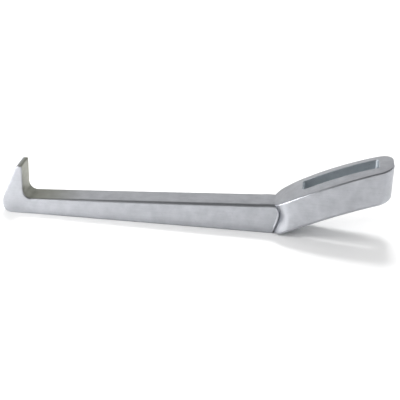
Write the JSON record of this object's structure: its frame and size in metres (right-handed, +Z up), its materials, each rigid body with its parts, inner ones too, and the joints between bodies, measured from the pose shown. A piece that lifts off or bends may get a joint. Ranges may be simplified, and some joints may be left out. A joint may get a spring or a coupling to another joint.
{
  "type": "tyre lever",
  "caption": "Cast aluminium hooked tyre lever: a tapered bar with an upturned jaw, weld-joined to a raised, flared handle with a long through slot.",
  "frame": {"origin": "under the middle of the overall box, on the plane of the arm's flat underside", "axes": "+X from the hook towards the handle's end, +Z up from the underside, +Y across the lever"},
  "size_m": [0.322, 0.04, 0.0668],
  "materials": {
    "arm_alloy": "belt-linished satin, with the grain along the arm",
    "handle_alloy": "belt-linished satin, duller inside the slot",
    "weld_alloy": "dressed weld, brighter than the faces beside it"
  },
  "bodies": {
    "root": {"hook_arm": "arm_alloy", "handle": "handle_alloy", "joint_weld": "weld_alloy"}
  },
  "joints": []
}
